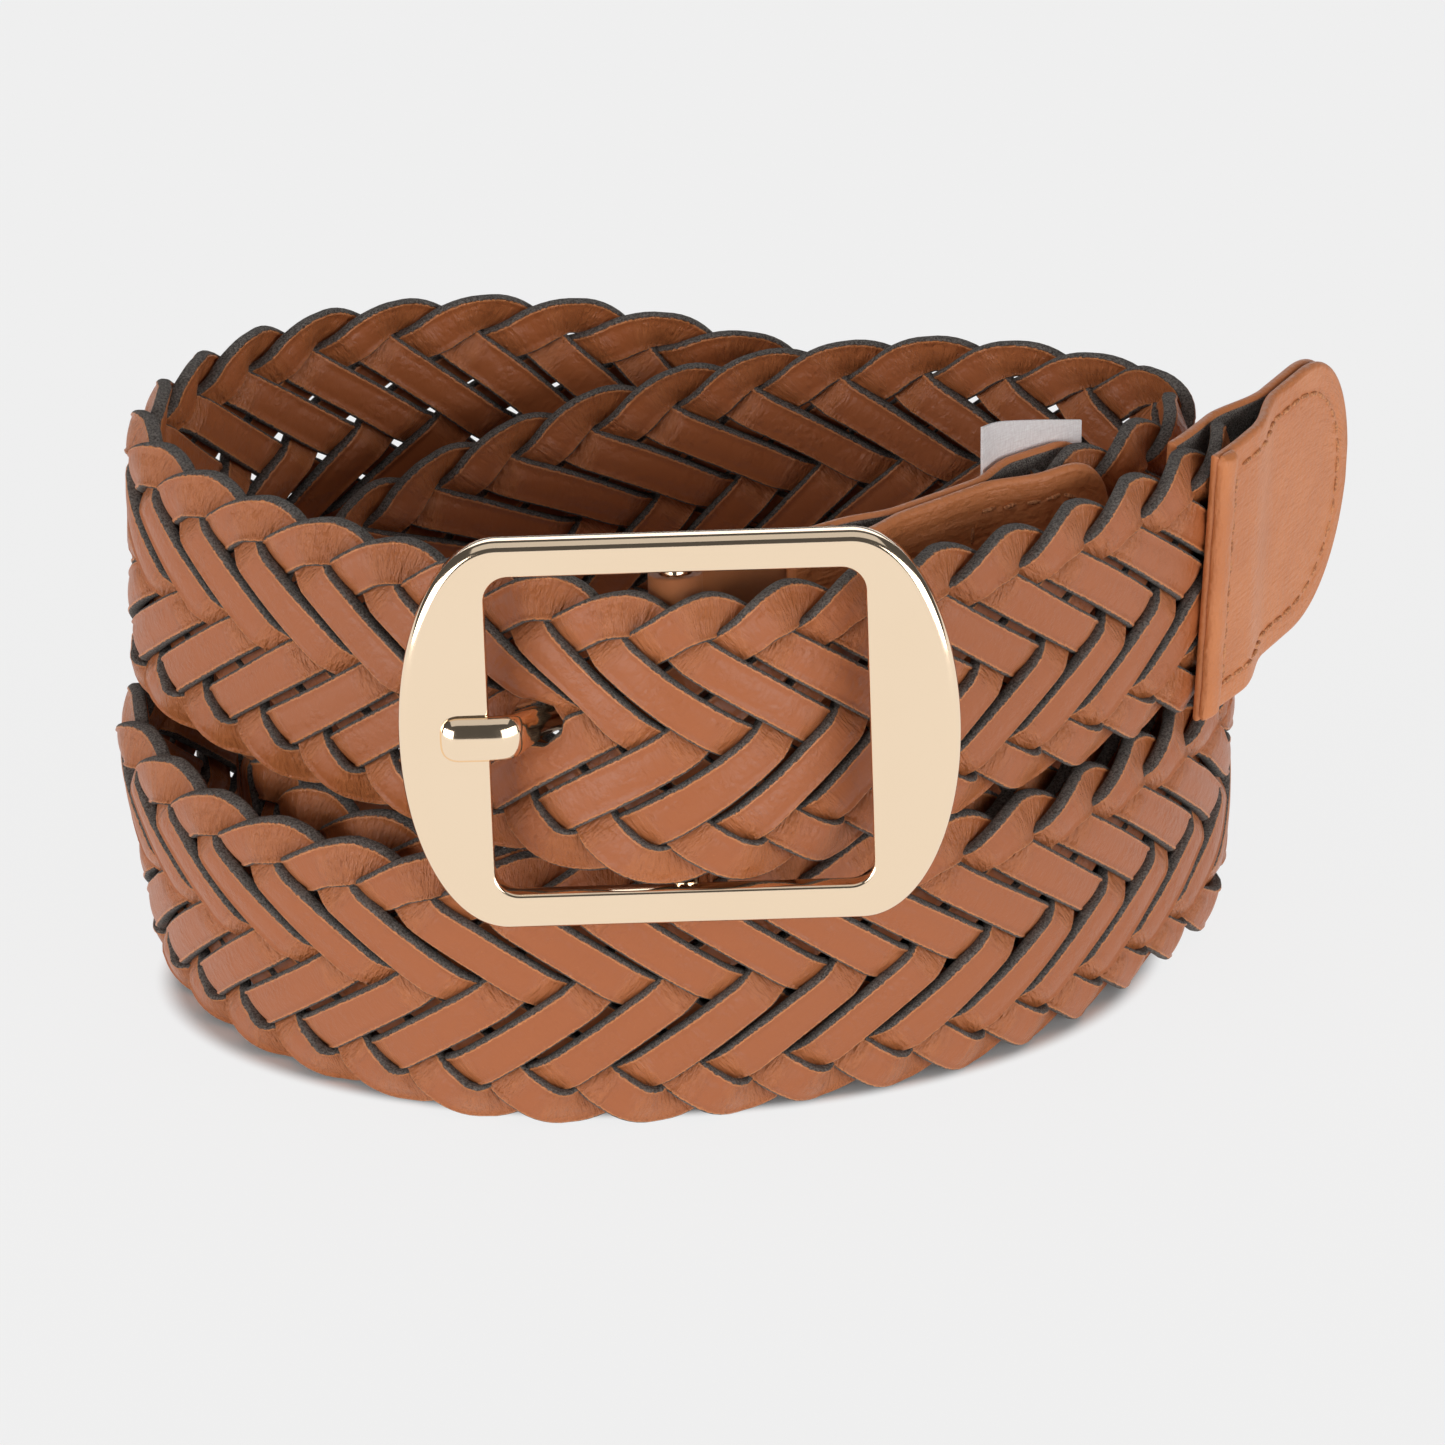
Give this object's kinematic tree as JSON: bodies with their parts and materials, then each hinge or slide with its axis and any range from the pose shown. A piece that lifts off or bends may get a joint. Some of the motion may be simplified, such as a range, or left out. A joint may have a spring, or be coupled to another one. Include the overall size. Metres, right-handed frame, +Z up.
{
  "type": "woven leather belt",
  "caption": "Woven leather belt fastened and coiled on its edge, with a rounded centre-bar buckle, pivoting prong, folded stitched tab and stitched rounded tip",
  "frame": {"origin": "on the surface the coil stands on, under the centre of its bounding box", "axes": "+Z up across the strap's width, the buckle facing -Y, the long side of the coil along X"},
  "size_m": [0.148, 0.1048, 0.0768],
  "materials": {
    "strand_leather": "smooth tan faux leather with a fine grain and grey felt cut edges",
    "tab_leather": "smooth tan leather with stitched borders",
    "gold_metal": "polished pale gold plating",
    "label_cloth": "plain white woven label, left blank"
  },
  "bodies": {
    "strap": {"braid_strand_1": "strand_leather", "braid_strand_2": "strand_leather", "braid_strand_3": "strand_leather", "braid_strand_4": "strand_leather", "braid_strand_5": "strand_leather", "braid_strand_6": "strand_leather", "braid_strand_7": "strand_leather", "braid_strand_8": "strand_leather", "braid_strand_9": "strand_leather", "tab_front_ply": "tab_leather", "tab_rear_ply": "tab_leather", "bar_wrap": "tab_leather", "tip_front_ply": "tab_leather", "tip_rear_ply": "tab_leather", "tip_edge_band": "tab_leather", "blank_label": "label_cloth"},
    "buckle": {"buckle_frame": "gold_metal", "centre_bar": "gold_metal"},
    "prong": {"prong": "gold_metal"}
  },
  "joints": [
    {"name": "buckle_pivot", "type": "hinge", "parent": "strap", "child": "buckle", "pos_m": [-0.00703, -0.04366, 0.05267], "axis": [-0.0337, 0.1168, 0.9926], "range_deg": [-3, 3]},
    {"name": "prong_pivot", "type": "hinge", "parent": "buckle", "child": "prong", "pos_m": [-0.00703, -0.04366, 0.05267], "axis": [-0.0337, 0.1168, 0.9926], "range_deg": [0, 3]}
  ]
}
